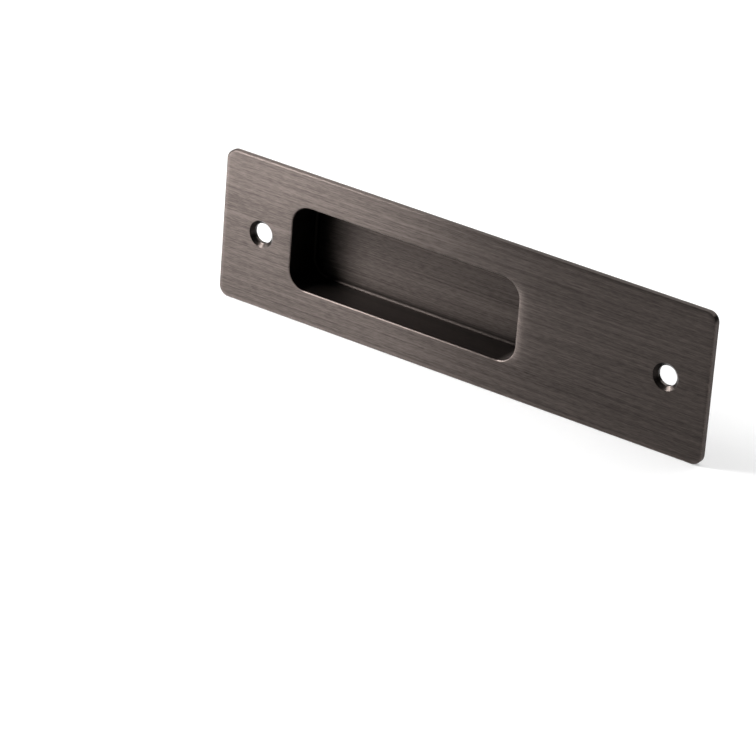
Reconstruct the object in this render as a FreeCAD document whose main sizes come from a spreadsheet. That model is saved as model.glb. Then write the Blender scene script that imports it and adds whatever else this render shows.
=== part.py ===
import FreeCAD, Part
import math
import os

import Sketcher

# Recessed door pull: one cast plate with a finger recess and two countersunk screw holes.
# The recess is a pan that stands out behind the plate and goes into the door.
# The origin is the middle of the screw pattern on the plane that seats on the door.
# X runs along the plate, Z up, the face looks towards -Y and the pan goes back along +Y.

# Driving dimensions in millimetres, and one angle in degrees

SIZES = {
    "plate_length": 180,
    "plate_height": 50,
    "plate_thickness": 2.4,
    "plate_corner_radius": 3.4,
    "face_edge_radius": 0.6,
    "back_edge_radius": 0.3,
    "recess_length": 85,
    "recess_height": 28,
    "recess_depth": 13.2,
    "recess_corner_radius": 6.5,
    "recess_from_middle": 21,
    "recess_rim_radius": 0.4,
    "recess_floor_radius": 1.0,
    "pan_wall": 2.0,
    "pan_floor": 2.0,
    "pan_root_radius": 0.8,
    "screw_spacing": 150,
    "screw_hole_diameter": 6.6,
    "countersink_diameter": 8.9,
    "countersink_angle": 90,
}

NODE = "pull_plate"

# Point numbers that a sketch uses for a line or an arc
START = 1
END = 2
CENTRE = 3
SKETCH_AXIS = -1


def make_sheet(doc):
    sheet = doc.addObject("Spreadsheet::Sheet", "Sizes")
    for row, (alias, value) in enumerate(SIZES.items(), start=1):
        sheet.set(f"A{row}", alias.replace("_", " "))
        sheet.set(f"B{row}", str(value))
        sheet.setAlias(f"B{row}", alias)
    doc.recompute()
    return sheet


def seating_plane(body):
    """The body's XZ plane, which is the plane that the plate seats on; its normal looks out of the door."""
    for feature in body.Origin.OriginFeatures:
        if feature.Role == "XZ_Plane":
            return feature
    raise RuntimeError("the body has no XZ plane")


def new_sketch(body, name, forward="0", sideways="0"):
    """An empty sketch parallel to the seating plane, moved out of the door and along the plate."""
    sketch = body.newObject("Sketcher::SketchObject", name)
    sketch.AttachmentSupport = [(seating_plane(body), "")]
    sketch.MapMode = "FlatFace"
    sketch.setExpression("AttachmentOffset.Base.x", sideways)
    sketch.setExpression("AttachmentOffset.Base.z", forward)
    return sketch


def bind(sketch, constraint, name, expression):
    """Adds a sized constraint and ties it to the sheet."""
    index = sketch.addConstraint(constraint)
    sketch.renameConstraint(index, name)
    sketch.setExpression(f"Constraints.{name}", expression)


def rounded_rectangle(sketch, length, height, radius):
    """Draws a rounded rectangle about the sketch's own middle, with its three sizes tied to the sheet."""
    # The drawing starts near its final form; the constraints then set the real sizes
    half_x, half_y, corner = 40.0, 15.0, 5.0
    up = FreeCAD.Vector(0, 0, 1)
    inner_x = half_x - corner
    inner_y = half_y - corner
    line_ends = [
        ((-inner_x, -half_y), (inner_x, -half_y)),
        ((half_x, -inner_y), (half_x, inner_y)),
        ((inner_x, half_y), (-inner_x, half_y)),
        ((-half_x, inner_y), (-half_x, -inner_y)),
    ]
    lines = [Part.LineSegment(FreeCAD.Vector(*a, 0), FreeCAD.Vector(*b, 0)) for a, b in line_ends]
    corner_centres = [
        (inner_x, -inner_y),
        (inner_x, inner_y),
        (-inner_x, inner_y),
        (-inner_x, -inner_y),
    ]
    quarter = math.pi / 2
    arcs = []
    for turn, (x, y) in enumerate(corner_centres, start=-1):
        circle = Part.Circle(FreeCAD.Vector(x, y, 0), up, corner)
        arcs.append(Part.ArcOfCircle(circle, turn * quarter, (turn + 1) * quarter))
    sketch.addGeometry(lines + arcs)
    bottom, right, top, left = range(4)
    first_arc = 4
    for side in range(4):
        arc = first_arc + side
        following = (side + 1) % 4
        sketch.addConstraint(Sketcher.Constraint("Tangent", side, END, arc, START))
        sketch.addConstraint(Sketcher.Constraint("Tangent", arc, END, following, START))
    for side in (bottom, top):
        sketch.addConstraint(Sketcher.Constraint("Horizontal", side))
    for side in (right, left):
        sketch.addConstraint(Sketcher.Constraint("Vertical", side))
    for arc in range(first_arc + 1, first_arc + 4):
        sketch.addConstraint(Sketcher.Constraint("Equal", first_arc, arc))
    opposite = first_arc + 2
    sketch.addConstraint(
        Sketcher.Constraint("Symmetric", first_arc, CENTRE, opposite, CENTRE, SKETCH_AXIS, START)
    )
    bind(sketch, Sketcher.Constraint("Radius", first_arc, corner), "corner", radius)
    across = Sketcher.Constraint("DistanceX", left, START, right, START, 2 * half_x)
    bind(sketch, across, "length", length)
    upwards = Sketcher.Constraint("DistanceY", bottom, START, top, START, 2 * half_y)
    bind(sketch, upwards, "height", height)


def pad(body, sketch, name, length, backwards=False):
    feature = body.newObject("PartDesign::Pad", name)
    feature.Profile = sketch
    feature.setExpression("Length", length)
    feature.Reversed = backwards
    body.Document.recompute()
    return feature


def check_removed(before, after):
    """A cut that points away from the metal takes nothing off and gives no error."""
    if not after.Shape.Volume < before.Shape.Volume - 1e-6:
        raise RuntimeError(f"{after.Name} removes nothing")


def flat_face(shape, normal_y, pick):
    """Of the flat faces that look along -Y or +Y, the one that pick rates highest."""
    found = []
    for face in shape.Faces:
        if isinstance(face.Surface, Part.Plane):
            normal = face.normalAt(0, 0)
            if abs(normal.y - normal_y) < 1e-6:
                found.append(face)
    return max(found, key=pick)


def rim_of(face):
    """The longest hole outline in a face, which is the mouth of the recess or the root of the pan."""
    inner = [wire for wire in face.Wires if not wire.isSame(face.OuterWire)]
    return max(inner, key=lambda wire: wire.Length)


def fillet(body, name, wire, radius):
    """Rounds every edge of a wire of the body's last shape."""
    base = body.Tip
    edges = [
        f"Edge{number}"
        for number, edge in enumerate(base.Shape.Edges, start=1)
        if any(edge.isSame(wanted) for wanted in wire.Edges)
    ]
    feature = body.newObject("PartDesign::Fillet", name)
    feature.Base = (base, edges)
    feature.setExpression("Radius", radius)
    body.Document.recompute()
    return feature


def foremost(face):
    return -face.CenterOfMass.y


def rearmost(face):
    return face.CenterOfMass.y


def largest(face):
    return face.Area


def add_plate(body):
    sketch = new_sketch(body, "PlateOutline")
    rounded_rectangle(sketch, "Sizes.plate_length", "Sizes.plate_height", "Sizes.plate_corner_radius")
    pad(body, sketch, "Plate", "Sizes.plate_thickness")


def add_pan(body):
    """The outside of the recess: its walls and floor follow the recess at an even thickness."""
    sketch = new_sketch(body, "PanOutline", sideways="-Sizes.recess_from_middle")
    rounded_rectangle(
        sketch,
        "Sizes.recess_length + 2 * Sizes.pan_wall",
        "Sizes.recess_height + 2 * Sizes.pan_wall",
        "Sizes.recess_corner_radius + Sizes.pan_wall",
    )
    reach = "Sizes.recess_depth + Sizes.pan_floor - Sizes.plate_thickness"
    pad(body, sketch, "Pan", reach, backwards=True)
    bottom = flat_face(body.Tip.Shape, 1, rearmost).OuterWire
    fillet(body, "PanBottomEdge", bottom, "Sizes.recess_floor_radius + Sizes.pan_wall")
    root = rim_of(flat_face(body.Tip.Shape, 1, largest))
    fillet(body, "PanRoot", root, "Sizes.pan_root_radius")


def cut_recess(body):
    before = body.Tip
    sketch = new_sketch(body, "RecessOutline", "Sizes.plate_thickness", "-Sizes.recess_from_middle")
    rounded_rectangle(sketch, "Sizes.recess_length", "Sizes.recess_height", "Sizes.recess_corner_radius")
    pocket = body.newObject("PartDesign::Pocket", "Recess")
    pocket.Profile = sketch
    pocket.setExpression("Length", "Sizes.recess_depth")
    body.Document.recompute()
    check_removed(before, pocket)
    floor = flat_face(body.Tip.Shape, -1, rearmost).OuterWire
    fillet(body, "RecessFloorEdge", floor, "Sizes.recess_floor_radius")


def drill_screw_holes(body):
    before = body.Tip
    sketch = new_sketch(body, "ScrewPattern", "Sizes.plate_thickness")
    # The drawing starts near its final form; the constraints then set the real sizes
    half_spacing, radius = 60.0, 3.0
    up = FreeCAD.Vector(0, 0, 1)
    for x in (-half_spacing, half_spacing):
        sketch.addGeometry(Part.Circle(FreeCAD.Vector(x, 0, 0), up, radius))
    first, second = range(2)
    sketch.addConstraint(Sketcher.Constraint("Equal", first, second))
    sketch.addConstraint(Sketcher.Constraint("PointOnObject", first, CENTRE, SKETCH_AXIS))
    sketch.addConstraint(
        Sketcher.Constraint("Symmetric", first, CENTRE, second, CENTRE, SKETCH_AXIS, START)
    )
    size = Sketcher.Constraint("Diameter", first, 2 * radius)
    bind(sketch, size, "diameter", "Sizes.screw_hole_diameter")
    apart = Sketcher.Constraint("DistanceX", first, CENTRE, second, CENTRE, 2 * half_spacing)
    bind(sketch, apart, "spacing", "Sizes.screw_spacing")
    body.Document.recompute()

    hole = body.newObject("PartDesign::Hole", "ScrewHoles")
    hole.Profile = sketch
    body.Document.recompute()
    hole.ThreadType = "None"
    hole.DepthType = "ThroughAll"
    hole.HoleCutType = "Countersink"
    hole.HoleCutCustomValues = True
    hole.setExpression("Diameter", "Sizes.screw_hole_diameter")
    hole.setExpression("HoleCutDiameter", "Sizes.countersink_diameter")
    hole.setExpression("HoleCutCountersinkAngle", "Sizes.countersink_angle")
    body.Document.recompute()
    check_removed(before, hole)


def soften_edges(body):
    """The face runs over into the recess and over the plate's outline with small rounds."""
    rim = rim_of(flat_face(body.Tip.Shape, -1, foremost))
    fillet(body, "RecessRim", rim, "Sizes.recess_rim_radius")
    outline = flat_face(body.Tip.Shape, -1, foremost).OuterWire
    fillet(body, "FaceEdge", outline, "Sizes.face_edge_radius")
    back_outline = flat_face(body.Tip.Shape, 1, largest).OuterWire
    fillet(body, "BackEdge", back_outline, "Sizes.back_edge_radius")


def make_pull_plate(doc):
    body = doc.addObject("PartDesign::Body", "PullPlate")
    body.Label = NODE
    body.Placement = FreeCAD.Placement()
    add_plate(body)
    add_pan(body)
    cut_recess(body)
    drill_screw_holes(body)
    soften_edges(body)
    return body


def check_document(doc, bodies):
    doc.recompute()
    for item in doc.Objects:
        bad = {"Invalid", "Error"} & set(item.State)
        if bad:
            raise RuntimeError(f"{item.Name} is {', '.join(sorted(bad))}")
    for body in bodies:
        if body.Shape.isNull() or not body.Shape.isValid():
            raise RuntimeError(f"{body.Label} has no valid shape")
        if len(body.Shape.Solids) != 1:
            raise RuntimeError(f"{body.Label} is not one solid")


def main():
    doc = FreeCAD.newDocument("RecessedDoorPull")
    make_sheet(doc)
    bodies = [make_pull_plate(doc)]
    check_document(doc, bodies)
    os.makedirs("parts", exist_ok=True)
    for body in bodies:
        body.Shape.exportStep(f"parts/{body.Label}.step")
        box = body.Shape.BoundBox
        print(body.Label, "volume", round(body.Shape.Volume, 1), "box", box)


main()
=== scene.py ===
import math
from functools import partial

import bmesh
import bpy
from mathutils import Matrix, Vector


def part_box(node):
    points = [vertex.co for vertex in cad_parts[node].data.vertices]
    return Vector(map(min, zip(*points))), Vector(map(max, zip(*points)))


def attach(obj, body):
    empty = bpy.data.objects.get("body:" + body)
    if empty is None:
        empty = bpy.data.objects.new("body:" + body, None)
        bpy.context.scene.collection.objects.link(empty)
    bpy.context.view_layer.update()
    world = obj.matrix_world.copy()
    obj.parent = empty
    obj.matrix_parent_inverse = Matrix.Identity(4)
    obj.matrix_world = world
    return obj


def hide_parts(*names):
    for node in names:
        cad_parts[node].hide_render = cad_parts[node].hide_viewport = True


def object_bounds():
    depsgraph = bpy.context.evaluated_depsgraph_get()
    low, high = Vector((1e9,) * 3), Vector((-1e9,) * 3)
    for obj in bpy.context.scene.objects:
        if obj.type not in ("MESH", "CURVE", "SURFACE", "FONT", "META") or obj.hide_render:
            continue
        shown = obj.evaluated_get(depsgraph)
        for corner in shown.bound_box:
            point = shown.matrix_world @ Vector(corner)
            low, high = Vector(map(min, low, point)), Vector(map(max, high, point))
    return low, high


# Dressed door pull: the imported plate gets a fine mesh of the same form, with the softly rolled
# edges that polishing leaves, and a lengthwise brushed dark bronze finish.

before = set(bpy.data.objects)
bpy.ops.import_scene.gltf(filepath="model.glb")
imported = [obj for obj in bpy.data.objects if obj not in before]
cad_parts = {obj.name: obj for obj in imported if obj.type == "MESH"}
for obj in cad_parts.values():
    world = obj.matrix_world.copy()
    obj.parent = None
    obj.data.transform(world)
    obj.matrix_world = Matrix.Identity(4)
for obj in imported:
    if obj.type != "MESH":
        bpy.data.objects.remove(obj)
cad_low, cad_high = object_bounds()
MM = 0.001

# Sizes of the plate in millimetres; the outside ones are read from the frame

plate_low, plate_high = (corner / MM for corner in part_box("pull_plate"))
HALF_LENGTH = plate_high.x
HALF_HEIGHT = plate_high.z
FACE_Y = plate_low.y
PAN_BOTTOM_Y = plate_high.y
PLATE_CORNER = 3.4
FACE_EDGE_ROUND = 0.6
BACK_EDGE_ROUND = 0.3
RECESS_HALF_LENGTH = 42.5
RECESS_HALF_HEIGHT = 14.0
RECESS_CORNER = 6.5
RECESS_X = -21.0
RECESS_RIM_ROUND = 0.4
RECESS_FLOOR_ROUND = 1.0
PAN_WALL = 2.0
PAN_FLOOR = 2.0
PAN_ROOT_ROUND = 0.8
RECESS_FLOOR_Y = PAN_BOTTOM_Y - PAN_FLOOR
SCREW_X = 75.0
SCREW_HOLE_RADIUS = 3.3
COUNTERSINK_RADIUS = 4.45
HOLE_LIP = 0.12
BORE_START = 0.02

# Directions in degrees from straight out: where the round of a hole's lip starts, and where the wall of
# its countersink faces

HOLE_LIP_START = -92
COUNTERSINK_FACING = -135

# How the polished face rolls over beside an edge: its slope there, how fast that fades and how far it
# reaches. The outline's roll loses a share of its slope at the low edge. The rim's has all of its slope
# at the right end and its least share at the left, top and bottom.

OUTLINE_ROLL = (math.tan(math.radians(12.0)), 0.75, 3.5)
OUTLINE_ROLL_LOSS = 0.7
RIM_ROLL = (math.tan(math.radians(10.0)), 1.9, 6.8)
RIM_ROLL_LEAST = 0.35
RIM_ROLL_GROWTH = 1.5
HOLE_ROLL = (math.tan(math.radians(5.0)), 0.8, 2.6)

# Painted shade and highlight, with some wear: 0 where the colour is plain, 1 where shade is painted
# darkest, below 0 where it is painted or worn lighter. The lightening of an edge follows the profile's
# points over it, times its amount on that side. Rim and holes have a level, a change to the right and a
# change upwards.
# The recess's walls, the foot of its walls and the countersinks get painted shade, and the recess's floor
# gets painted shade at distances from the wall.

EDGE_PAINTED_LIGHT_AND_WEAR = (0.2, 0.5, 0.8, 1.0, 1.0, 1.0, 1.0, 0.8, 0.5, 0.2, 0.0)
LEFT_EDGE_HIGHLIGHT_AND_WEAR = 0.95
LOW_EDGE_HIGHLIGHT_AND_WEAR = 0.60
TOP_EDGE_PAINTED_LIGHT = -0.25
RIM_PAINTED_LIGHT_AND_WEAR = (0.3, 0.9, 1.0, 1.0, 0.8, 0.3)
RIM_PAINTED_LIGHT_AND_WEAR_BY_SIDE = (0.75, 0.1, -0.9)
WALL_PAINTED_SHADE = (0.4, 1.0)
FOOT_PAINTED_SHADE = 0.9
FOOT_PAINTED_SHADE_LEFT = 0.55
RECESS_FLOOR_PAINTED_SHADE = ((2.2, 0.25), (4.0, 0.10), (6.5, 0.0))
HOLE_PAINTED_SHADE = (0.75, -0.5, 0.3)

# Mesh fineness; the power draws the rings of a roll together towards its edge

CORNER_STEPS = 14
LONG_STEPS = 20
SHORT_STEPS = 8
ARC_STEPS = 7
ROLL_STEPS = 8
ROLL_POWER = 1.6
HOLE_POINTS = 72

# Camera, as solved from the photograph: a place, where it looks, its roll and its focal length

CAMERA_PLACE = Vector((0.70618, -1.1156, 0.58887))
CAMERA_AZIMUTH = 33.37
CAMERA_DIP = 25.045
CAMERA_ROLL = 4.51
FOCAL_PIXELS = 4726.9
PICTURE_SIDE = 756


# Profiles: each point is how far outside the outline it is, its depth, and its normal outwards and along Y.
# Each profile comes with the painted shade, painted highlight and wear at its points.

def roll_drop(distance, roll):
    slope, fade, width = roll
    if distance >= width:
        return 0.0
    return slope * fade * (math.exp(-distance / fade) - math.exp(-width / fade))


def roll_slope(distance, roll):
    slope, fade, width = roll
    return slope * math.exp(-distance / fade) if distance < width else 0.0


def roll_share(roll, share):
    slope, fade, width = roll
    return slope * share, fade, width


def roll_profile(roll, start, away):
    """The face from its flat part to the distance start from the edge; away is the side it lies on."""
    points = []
    width = roll[2]
    for step in range(ROLL_STEPS + 1):
        share = 1 - step / ROLL_STEPS
        distance = start + (width - start) * share ** ROLL_POWER
        slope = roll_slope(distance, roll) if step else 0.0
        length = math.hypot(1.0, slope)
        y = FACE_Y + roll_drop(distance, roll)
        points.append((away * distance, y, -away * slope / length, -1.0 / length))
    return points


def round_after(roll, radius):
    """The depth of the centre of an edge's round, and the slope in degrees with which it starts."""
    centre_y = FACE_Y + roll_drop(radius, roll) + radius
    return centre_y, math.degrees(math.atan(roll_slope(radius, roll)))


def arc_profile(centre_out, centre_y, radius, start, end, hollow=1):
    """A round between two directions in degrees from straight out; hollow is -1 for an inside round."""
    points = []
    for step in range(ARC_STEPS + 1):
        angle = math.radians(start + (end - start) * step / ARC_STEPS)
        out, along = math.cos(angle), math.sin(angle)
        place = (centre_out + radius * out, centre_y + radius * along)
        points.append((*place, hollow * out, hollow * along))
    return points


def by_side(way, level, rightwards, upwards):
    return level + rightwards * way.x + upwards * way.y


def outline_profile(way):
    """From the flat of the face over the plate's edge to its back."""
    edge_roll = roll_share(OUTLINE_ROLL, 1 - OUTLINE_ROLL_LOSS * max(0.0, -way.y))
    roll = roll_profile(edge_roll, FACE_EDGE_ROUND, -1)
    edge_y, tilt = round_after(edge_roll, FACE_EDGE_ROUND)
    front = arc_profile(-FACE_EDGE_ROUND, edge_y, FACE_EDGE_ROUND, -90 + tilt, 0)
    back = arc_profile(-BACK_EDGE_ROUND, -BACK_EDGE_ROUND, BACK_EDGE_ROUND, 0, 90)
    front = roll[:-1] + front
    # The edges are lighter partly from wear and partly from a painted highlight, most on the left and low
    # sides; the top edge gets painted shade instead
    painted_light_and_wear = LEFT_EDGE_HIGHLIGHT_AND_WEAR * max(0.0, -way.x)
    painted_light_and_wear += (TOP_EDGE_PAINTED_LIGHT if way.y > 0 else LOW_EDGE_HIGHLIGHT_AND_WEAR) * abs(way.y)
    dark = [0.0] * (len(front) - len(EDGE_PAINTED_LIGHT_AND_WEAR))
    dark += [-painted_light_and_wear * share for share in EDGE_PAINTED_LIGHT_AND_WEAR]
    dark += [0.0] * len(back)
    return front + back, dark


def recess_profile(way):
    """From the flat of the face over the rim and down the wall to the recess's floor."""
    share = RIM_ROLL_LEAST + (1 - RIM_ROLL_LEAST) * max(0.0, way.x) ** RIM_ROLL_GROWTH
    rim_roll = roll_share(RIM_ROLL, share)
    roll = roll_profile(rim_roll, RECESS_RIM_ROUND, 1)[:-1]
    rim_y, tilt = round_after(rim_roll, RECESS_RIM_ROUND)
    rim = arc_profile(RECESS_RIM_ROUND, rim_y, RECESS_RIM_ROUND, -90 - tilt, -180)
    foot_y = RECESS_FLOOR_Y - RECESS_FLOOR_ROUND
    foot = arc_profile(-RECESS_FLOOR_ROUND, foot_y, RECESS_FLOOR_ROUND, 0, 90, hollow=-1)
    floor = [(-inwards, RECESS_FLOOR_Y, 0.0, -1.0) for inwards, _ in RECESS_FLOOR_PAINTED_SHADE]
    # The rim is lighter partly from wear and partly from a painted highlight, most at the bottom; at the
    # top it gets a little painted shade
    painted_light_and_wear = by_side(way, *RIM_PAINTED_LIGHT_AND_WEAR_BY_SIDE)
    dark = [0.0] * len(roll)
    dark += [-painted_light_and_wear * share for share in RIM_PAINTED_LIGHT_AND_WEAR]
    # Painted shade on the recess's walls
    dark += WALL_PAINTED_SHADE
    # Painted shade on the foot of the walls, more at the left end
    dark += [FOOT_PAINTED_SHADE + FOOT_PAINTED_SHADE_LEFT * max(0.0, -way.x)] * len(foot)
    # Painted shade on the recess's floor near its walls
    dark += [share for _, share in RECESS_FLOOR_PAINTED_SHADE]
    return roll + rim + foot + floor, dark


def pan_profile(_):
    """From the plate's back over the root and the pan's wall to the pan's bottom."""
    root = arc_profile(PAN_ROOT_ROUND, PAN_ROOT_ROUND, PAN_ROOT_ROUND, -90, -180, hollow=-1)
    bottom_round = RECESS_FLOOR_ROUND + PAN_WALL
    bottom = arc_profile(-bottom_round, PAN_BOTTOM_Y - bottom_round, bottom_round, 0, 90)
    return root + bottom, [0.0] * len(root + bottom)


def hole_profile(way):
    """From the flat of the face down the countersink and the bore to the back; distances are radii.

    The countersink is 90 degrees wide, so its wall goes back as far as it goes in.
    """
    roll = roll_profile(HOLE_ROLL, HOLE_LIP, 1)[:-1]
    roll = [(COUNTERSINK_RADIUS + out, *rest) for out, *rest in roll]
    lip_y, _ = round_after(HOLE_ROLL, HOLE_LIP)
    lip_out = COUNTERSINK_RADIUS + HOLE_LIP
    lip = arc_profile(lip_out, lip_y, HOLE_LIP, HOLE_LIP_START, COUNTERSINK_FACING)
    lip_end, lip_end_y = lip[-1][:2]
    cone_end_y = lip_end_y + lip_end - SCREW_HOLE_RADIUS
    cone_normal = lip[-1][2:]
    inside = [
        (SCREW_HOLE_RADIUS, cone_end_y, *cone_normal),
        (SCREW_HOLE_RADIUS, cone_end_y + BORE_START, -1.0, 0.0),
        (SCREW_HOLE_RADIUS, -HOLE_LIP, -1.0, 0.0),
    ]
    back = arc_profile(SCREW_HOLE_RADIUS + HOLE_LIP, -HOLE_LIP, HOLE_LIP, 180, 90)[1:]
    dark = [0.0] * len(roll + lip[:-1])
    # Painted shade in the countersink and bore, darkest at the left and top, lightest low on the right
    dark += [by_side(way, *HOLE_PAINTED_SHADE)] * len(lip[-1:] + inside)
    dark += [0.0] * len(back)
    return roll + lip + inside + back, dark


# Rings: each has its points and the way that it faces at each of them

def rounded_ring(half_x, half_z, corner, centre_x, out):
    """A rounded rectangle grown by out; well inside, its corners get ever smaller and never end."""
    if out > -corner / 2:
        radius = corner + out
    else:
        radius = corner / 2 * math.exp(1 + 2 * out / corner)
    flat_x = half_x + out - radius
    flat_z = half_z + out - radius
    corners = (
        (1, -1, -90, SHORT_STEPS),
        (1, 1, 0, LONG_STEPS),
        (-1, 1, 90, SHORT_STEPS),
        (-1, -1, 180, LONG_STEPS),
    )
    ring = []
    for index, (side_x, side_z, turn, steps) in enumerate(corners):
        next_x, next_z, *_ = corners[(index + 1) % len(corners)]
        for step in range(CORNER_STEPS + 1):
            angle = math.radians(turn + 90 * step / CORNER_STEPS)
            way = Vector((math.cos(angle), math.sin(angle)))
            ring.append((Vector((side_x * flat_x, side_z * flat_z)) + radius * way, way))
        last, way = ring[-1]
        following = Vector((next_x * flat_x, next_z * flat_z)) + radius * way
        for step in range(1, steps):
            ring.append((last.lerp(following, step / steps), way))
    shift = Vector((centre_x, 0))
    return [(point + shift, way) for point, way in ring]


def round_ring(centre_x, radius):
    ring = []
    for step in range(HOLE_POINTS):
        angle = 2 * math.pi * step / HOLE_POINTS
        way = Vector((math.cos(angle), math.sin(angle)))
        ring.append((Vector((centre_x, 0)) + radius * way, way))
    return ring


class Skin:
    """A mesh under construction, with a normal and an amount of painted shade, painted highlight and wear
    for each of its points.
    """

    def __init__(self):
        self.mesh = bmesh.new()
        self.normals = []
        self.dark = []

    def loop(self, ring, points, shares):
        verts = []
        for (place, way), (_, y, normal_out, normal_y), share in zip(ring, points, shares):
            verts.append(self.mesh.verts.new(Vector((place.x, y, place.y)) * MM))
            normal = Vector((way.x * normal_out, normal_y, way.y * normal_out))
            self.normals.append(normal.normalized())
            self.dark.append(share)
        return verts

    def band(self, first, second, flip):
        count = len(first)
        for k in range(count):
            following = (k + 1) % count
            quad = [first[k], second[k], second[following], first[following]]
            self.mesh.faces.new(quad[::-1] if flip else quad)

    def sweep(self, ring_at, profile_at, inside):
        """Sweeps a profile round and returns its first and last loops; inside is true for an opening.

        The profile may differ with the way that the ring faces, except in how far out its points are.
        """
        first_profile, _ = profile_at(Vector((1, 0)))
        rings = [ring_at(out) for out, *_ in first_profile]
        profiles = [profile_at(way) for _, way in rings[0]]
        points = zip(*(points for points, _ in profiles))
        shares = zip(*(shares for _, shares in profiles))
        loops = [self.loop(*parts) for parts in zip(rings, points, shares)]
        for first, second in zip(loops, loops[1:]):
            self.band(first, second, inside)
        return loops[0], loops[-1]

    def fill(self, loops, looks_back):
        """Fills the flat between closed loops; looks_back says which way it faces."""
        edges = []
        for verts in loops:
            for k, vert in enumerate(verts):
                edges.append(self.mesh.edges.get((vert, verts[(k + 1) % len(verts)])))
        made = bmesh.ops.triangle_fill(self.mesh, use_beauty=True, use_dissolve=False, edges=edges)
        for face in made["geom"]:
            if isinstance(face, bmesh.types.BMFace):
                face.normal_update()
                if (face.normal.y > 0) != looks_back:
                    face.normal_flip()


def plate_skin():
    skin = Skin()
    plate = partial(rounded_ring, HALF_LENGTH, HALF_HEIGHT, PLATE_CORNER, 0)
    face_outer, back_outer = skin.sweep(plate, outline_profile, inside=False)
    recess_sizes = (RECESS_HALF_LENGTH, RECESS_HALF_HEIGHT, RECESS_CORNER)
    recess = partial(rounded_ring, *recess_sizes, RECESS_X)
    face_recess, recess_floor = skin.sweep(recess, recess_profile, inside=True)
    pan = partial(rounded_ring, *(size + PAN_WALL for size in recess_sizes), RECESS_X)
    back_pan, pan_bottom = skin.sweep(pan, pan_profile, inside=False)
    face_holes = []
    back_holes = []
    for x in (-SCREW_X, SCREW_X):
        face_hole, back_hole = skin.sweep(partial(round_ring, x), hole_profile, inside=True)
        face_holes.append(face_hole)
        back_holes.append(back_hole)
    skin.fill([face_outer, face_recess, *face_holes], looks_back=False)
    skin.fill([recess_floor], looks_back=False)
    skin.fill([back_outer, back_pan, *back_holes], looks_back=True)
    skin.fill([pan_bottom], looks_back=True)
    return skin


# Grain map: the side of its square in millimetres, its middle, and the two axes that it follows on
# sides that look along X, Y and Z. The first of the two is the grain's.

GRAIN_MAP_SIDE = 200
GRAIN_MAP_MIDDLE = Vector((0.5, 0.5, 0.5))
GRAIN_MAP_AXES = ((2, 1), (0, 2), (0, 1))


def add_grain_map(mesh):
    layer = mesh.uv_layers.new(name="grain")
    for polygon in mesh.polygons:
        normal = [abs(part) for part in polygon.normal]
        first, second = GRAIN_MAP_AXES[normal.index(max(normal))]
        for corner in polygon.loop_indices:
            place = mesh.vertices[mesh.loops[corner].vertex_index].co / MM
            place = place / GRAIN_MAP_SIDE + GRAIN_MAP_MIDDLE
            layer.data[corner].uv = (place[first], place[second])


# Where the finishes of the recess and of the holes start, in millimetres below the face and as a share
# of the lip, and how near is near enough

RECESS_FINISH_START = 0.3
HOLE_FINISH_START = 0.3
NEAR = 0.01


def in_recess(place):
    return (
        abs(place.x - RECESS_X) <= RECESS_HALF_LENGTH + NEAR
        and abs(place.z) <= RECESS_HALF_HEIGHT + NEAR
        and FACE_Y + RECESS_FINISH_START < place.y < RECESS_FLOOR_Y + NEAR
    )


def in_hole(place):
    radius = math.hypot(abs(place.x) - SCREW_X, place.z)
    return radius <= COUNTERSINK_RADIUS + HOLE_FINISH_START * HOLE_LIP and place.y <= NEAR - HOLE_LIP


def make_plate(face_finish, recess_finish, hole_finish):
    skin = plate_skin()
    mesh = bpy.data.meshes.new("pull_plate_fine")
    skin.mesh.to_mesh(mesh)
    skin.mesh.free()
    add_grain_map(mesh)
    mesh.shade_smooth()
    mesh.normals_split_custom_set_from_vertices(skin.normals)
    mesh.attributes.new("dark", "FLOAT", "POINT").data.foreach_set("value", skin.dark)
    finishes = (face_finish, recess_finish, hole_finish)
    for finish in finishes:
        mesh.materials.append(finish)
    for polygon in mesh.polygons:
        places = [mesh.vertices[k].co / MM for k in polygon.vertices]
        if all(in_recess(place) for place in places):
            polygon.material_index = finishes.index(recess_finish)
        elif all(in_hole(place) for place in places):
            polygon.material_index = finishes.index(hole_finish)
    plate = bpy.data.objects.new("pull_plate_fine", mesh)
    bpy.context.scene.collection.objects.link(plate)
    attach(plate, "root")
    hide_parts("pull_plate")


# Finish

class Nodes:
    """Short forms for building a material's node tree."""

    def __init__(self, material):
        material.use_nodes = True
        self.tree = material.node_tree
        self.tree.nodes.clear()

    def add(self, kind, inputs=None, **settings):
        node = self.tree.nodes.new(kind)
        for name, value in settings.items():
            setattr(node, name, value)
        for name, value in (inputs or {}).items():
            socket = node.inputs[name]
            if isinstance(value, bpy.types.NodeSocket):
                self.tree.links.new(value, socket)
            else:
                socket.default_value = value
        return node

    def calc(self, operation, *values):
        return self.add("ShaderNodeMath", dict(enumerate(values)), operation=operation).outputs[0]

    def ramp(self, value, start, end, start_value, end_value):
        """A smooth change from one value to another while value goes from start to end."""
        inputs = {
            "Value": value,
            "From Min": start,
            "From Max": end,
            "To Min": start_value,
            "To Max": end_value,
        }
        return self.add("ShaderNodeMapRange", inputs, interpolation_type="SMOOTHSTEP").outputs["Result"]

    def streaks(self, place, fineness):
        """Noise that is as fine as fineness says along X, Y and Z, per metre."""
        mapping = self.add("ShaderNodeMapping", {"Vector": place, "Scale": fineness})
        inputs = {"Vector": mapping.outputs[0], "Scale": 1.0, "Detail": NOISE_DETAIL}
        return self.add("ShaderNodeTexNoise", inputs).outputs["Fac"]


# Grain layers: how fine each is along and across the grain, per metre, and how much it tints the metal.
# The second layer and the third stand up as relief too.

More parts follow.
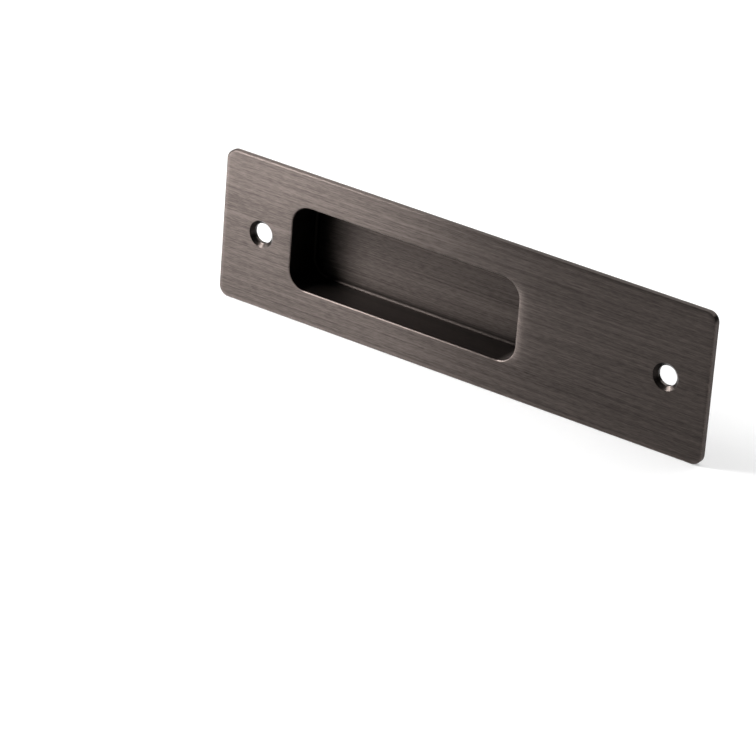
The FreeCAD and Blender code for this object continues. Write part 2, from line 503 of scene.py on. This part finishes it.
GRAIN_LAYERS = (
    (420.0, 3600.0, 1.05),
    (25.0, 3000.0, 0.65),
    (10.0, 1500.0, 0.60),
    (5.0, 500.0, 0.50),
)
NOISE_DETAIL = 2.0
NOISE_MEAN = 0.5
CLOUD_FINENESS = (18.0, 60.0, 60.0)
SECOND_LAYER_HEIGHT = 0.6
RELIEF_STRENGTH = 0.15
RELIEF_DEPTH = 0.00005
QUARTER_TURN = 0.25

# Colour and roughness: of the plain finish, of the recess and where shade is painted darkest. The whole
# recess gets painted shade, more towards its left end, between two distances from that end in millimetres.

BRONZE = (0.084, 0.070, 0.064)
ROUGHNESS = 0.39
ROUGHNESS_SPREAD = 0.04
RECESS_PAINTED_SHADE = 0.88
RECESS_ROUGHNESS = 0.44
RECESS_BRUSHED = 0.9
RECESS_END_PAINTED_SHADE = 0.35
RECESS_END_DARK = 6.0
RECESS_END_PLAIN = 23.0
PAINTED_SHADE_TINT = 0.35
DARK_ROUGHNESS = 0.30


# Painted shade over the whole recess, darker near its left end
def recess_painted_shade(make, place):
    along = make.add("ShaderNodeSeparateXYZ", {0: place}).outputs["X"]
    end = RECESS_X - RECESS_HALF_LENGTH
    dark_to = (end + RECESS_END_DARK) * MM
    plain_from = (end + RECESS_END_PLAIN) * MM
    return make.ramp(along, dark_to, plain_from, RECESS_END_PAINTED_SHADE * RECESS_PAINTED_SHADE, RECESS_PAINTED_SHADE)


def bronze(name, roughness, brushed, in_the_recess=False):
    """The dark finish; brushed is how much the grain draws the reflections out across it."""
    material = bpy.data.materials.new(name)
    make = Nodes(material)
    place = make.add("ShaderNodeTexCoord").outputs["Object"]
    layers = [make.streaks(place, (along, across, across)) for along, across, _ in GRAIN_LAYERS]
    tint = 1.0 - NOISE_MEAN * sum(weight for _, _, weight in GRAIN_LAYERS)
    for layer, (_, _, weight) in zip(layers, GRAIN_LAYERS):
        tint = make.calc("MULTIPLY_ADD", layer, weight, tint)
    dark = make.add("ShaderNodeAttribute", attribute_name="dark").outputs["Fac"]
    # Painted shade, painted highlight and edge wear darken or lighten the colour by the dark attribute
    shade = make.calc("MULTIPLY_ADD", dark, PAINTED_SHADE_TINT - 1.0, 1.0)
    # The recess gets painted shade over it, more towards its left end
    if in_the_recess:
        shade = make.calc("MULTIPLY", shade, recess_painted_shade(make, place))
    tint = make.calc("MULTIPLY", tint, shade)
    colour = make.add("ShaderNodeVectorMath", {0: BRONZE, "Scale": tint}, operation="SCALE")
    height = make.calc("MULTIPLY_ADD", layers[1], SECOND_LAYER_HEIGHT, layers[2])
    relief = {"Height": height, "Strength": RELIEF_STRENGTH, "Distance": RELIEF_DEPTH}
    cloud = make.streaks(place, CLOUD_FINENESS)
    rough = make.calc("MULTIPLY_ADD", layers[1], ROUGHNESS_SPREAD, roughness - ROUGHNESS_SPREAD)
    rough = make.calc("MULTIPLY_ADD", cloud, ROUGHNESS_SPREAD, rough)
    rough = make.add("ShaderNodeMix", {"Factor": dark, "A": rough, "B": DARK_ROUGHNESS})
    tangent = make.add("ShaderNodeTangent", direction_type="UV_MAP", uv_map="grain")
    shader = make.add(
        "ShaderNodeBsdfPrincipled",
        {
            "Base Color": colour.outputs["Vector"],
            "Metallic": 1.0,
            "Roughness": rough.outputs["Result"],
            "Anisotropic": brushed,
            "Anisotropic Rotation": QUARTER_TURN,
            "Tangent": tangent.outputs[0],
            "Normal": make.add("ShaderNodeBump", relief).outputs[0],
        },
    )
    make.add("ShaderNodeOutputMaterial", {"Surface": shader.outputs[0]})
    return material


# Studio: the floor is shown lighter than it is lit, by one amount near the object and by another far
# from it, where 1 is white. It changes between two distances in metres.

FLOOR_SIDE = 12
FLOOR_WHITE = 0.66
FLOOR_ROUGHNESS = 0.9
FLOOR_NEAR = 0.08
FLOOR_FAR = 0.30
FLOOR_LIFT_NEAR = 0.40
FLOOR_LIFT_FAR = 0.48


def floor_white():
    """White, and shown lighter than it is lit, in what mirrors it too."""
    material = bpy.data.materials.new("floor_white")
    make = Nodes(material)
    path = make.add("ShaderNodeLightPath").outputs
    seen = make.calc("MAXIMUM", path["Is Camera Ray"], path["Is Glossy Ray"])
    seen = make.calc("MAXIMUM", seen, path["Is Transmission Ray"])
    place = make.add("ShaderNodeTexCoord").outputs["Object"]
    distance = make.add("ShaderNodeVectorMath", {0: place}, operation="LENGTH").outputs["Value"]
    lift = make.ramp(distance, FLOOR_NEAR, FLOOR_FAR, FLOOR_LIFT_NEAR, FLOOR_LIFT_FAR)
    shader = make.add(
        "ShaderNodeBsdfPrincipled",
        {
            "Base Color": (FLOOR_WHITE, FLOOR_WHITE, FLOOR_WHITE, 1),
            "Roughness": FLOOR_ROUGHNESS,
            "Emission Color": (1, 1, 1, 1),
            "Emission Strength": make.calc("MULTIPLY", seen, lift),
        },
    )
    make.add("ShaderNodeOutputMaterial", {"Surface": shader.outputs[0]})
    return material


def make_floor():
    bpy.ops.mesh.primitive_plane_add(size=FLOOR_SIDE, location=(0, 0, cad_low.z))
    floor = bpy.context.object
    floor.name = "floor"
    floor.data.materials.append(floor_white())


# Panels of light: name, one corner, the two sides that leave it, and how bright, where 1 is as bright
# as white

PANELS = (
    ("side_high", (-0.21, -0.06, 0.14), (0, -0.16, 0), (0, 0, 0.18), 15.5),
    ("side_near", (-0.23, -0.2, 0.05), (-0.037, 0.05, 0), (0, 0, 0.2), 13.0),
    ("side_left", (-0.5, -0.14, 0.08), (0, 0.2, 0), (0, 0, 0.2), 5.0),
    ("side_low", (-0.125, -0.148, -0.02), (0.023, -0.032, 0), (0, 0, 0.07), 1.7),
    ("side_strip", (-0.09, -0.118, -0.0245), (-0.076, -0.118, 0), (-0.042, 0.027, 0), 5.4),
    ("side_far_low", (-0.396, -0.466, -0.02), (-0.142, 0.166, 0), (0, 0, 0.22), 1.0),
    ("side_far_high", (-0.442, -0.424, 0.2), (-0.106, 0.143, 0), (0, 0, 0.3), 2.4),
    ("top_back", (-0.43, 0.35, 0.5), (0.93, 0, 0), (0, 0.6, 0), 2.4),
    ("top_wide", (-1.2, -0.6, 1.6), (2.4, 0, 0), (0, 2.4, 0), 0.9),
)
WORLD_BRIGHTNESS = 0.08


def light_panel(name, corner, side, other_side, brightness):
    """An area light on one rectangle, facing the object."""
    corner, side, other_side = Vector(corner), Vector(side), Vector(other_side)
    data = bpy.data.lights.new(name, "AREA")
    data.shape = "RECTANGLE"
    data.size = side.length
    data.size_y = other_side.length
    data.energy = brightness * math.pi * data.size * data.size_y
    middle = corner + (side + other_side) / 2
    facing = side.cross(other_side).normalized()
    if facing.dot(middle) > 0:
        facing.negate()
    first = side.normalized()
    turn = Matrix((first, first.cross(facing), -facing)).transposed().to_4x4()
    light = bpy.data.objects.new(name, data)
    bpy.context.scene.collection.objects.link(light)
    light.matrix_world = Matrix.Translation(middle) @ turn
    light.visible_camera = False


def make_world():
    world = bpy.data.worlds.new("studio")
    bpy.context.scene.world = world
    world.use_nodes = True
    background = world.node_tree.nodes["Background"]
    background.inputs["Color"].default_value = (1, 1, 1, 1)
    background.inputs["Strength"].default_value = WORLD_BRIGHTNESS


def make_camera():
    data = bpy.data.cameras.new("camera")
    data.lens = FOCAL_PIXELS / PICTURE_SIDE * data.sensor_width
    camera = bpy.data.objects.new("camera", data)
    bpy.context.scene.collection.objects.link(camera)
    azimuth = Matrix.Rotation(math.radians(CAMERA_AZIMUTH), 4, "Z")
    tip = Matrix.Rotation(math.radians(90 - CAMERA_DIP), 4, "X")
    roll = Matrix.Rotation(math.radians(CAMERA_ROLL), 4, "Z")
    camera.matrix_world = Matrix.Translation(CAMERA_PLACE) @ azimuth @ tip @ roll
    bpy.context.scene.camera = camera


make_plate(
    bronze("brushed_dark_bronze", ROUGHNESS, 1.0),
    # The recess's copy of the finish has its own roughness and brushing, and painted shade over it
    bronze("recess_dark_bronze", RECESS_ROUGHNESS, RECESS_BRUSHED, in_the_recess=True),
    bronze("hole_dark_bronze", DARK_ROUGHNESS, 0.0),
)
make_floor()
for panel in PANELS:
    light_panel(*panel)
make_world()
make_camera()
bpy.context.scene.view_settings.view_transform = "Standard"
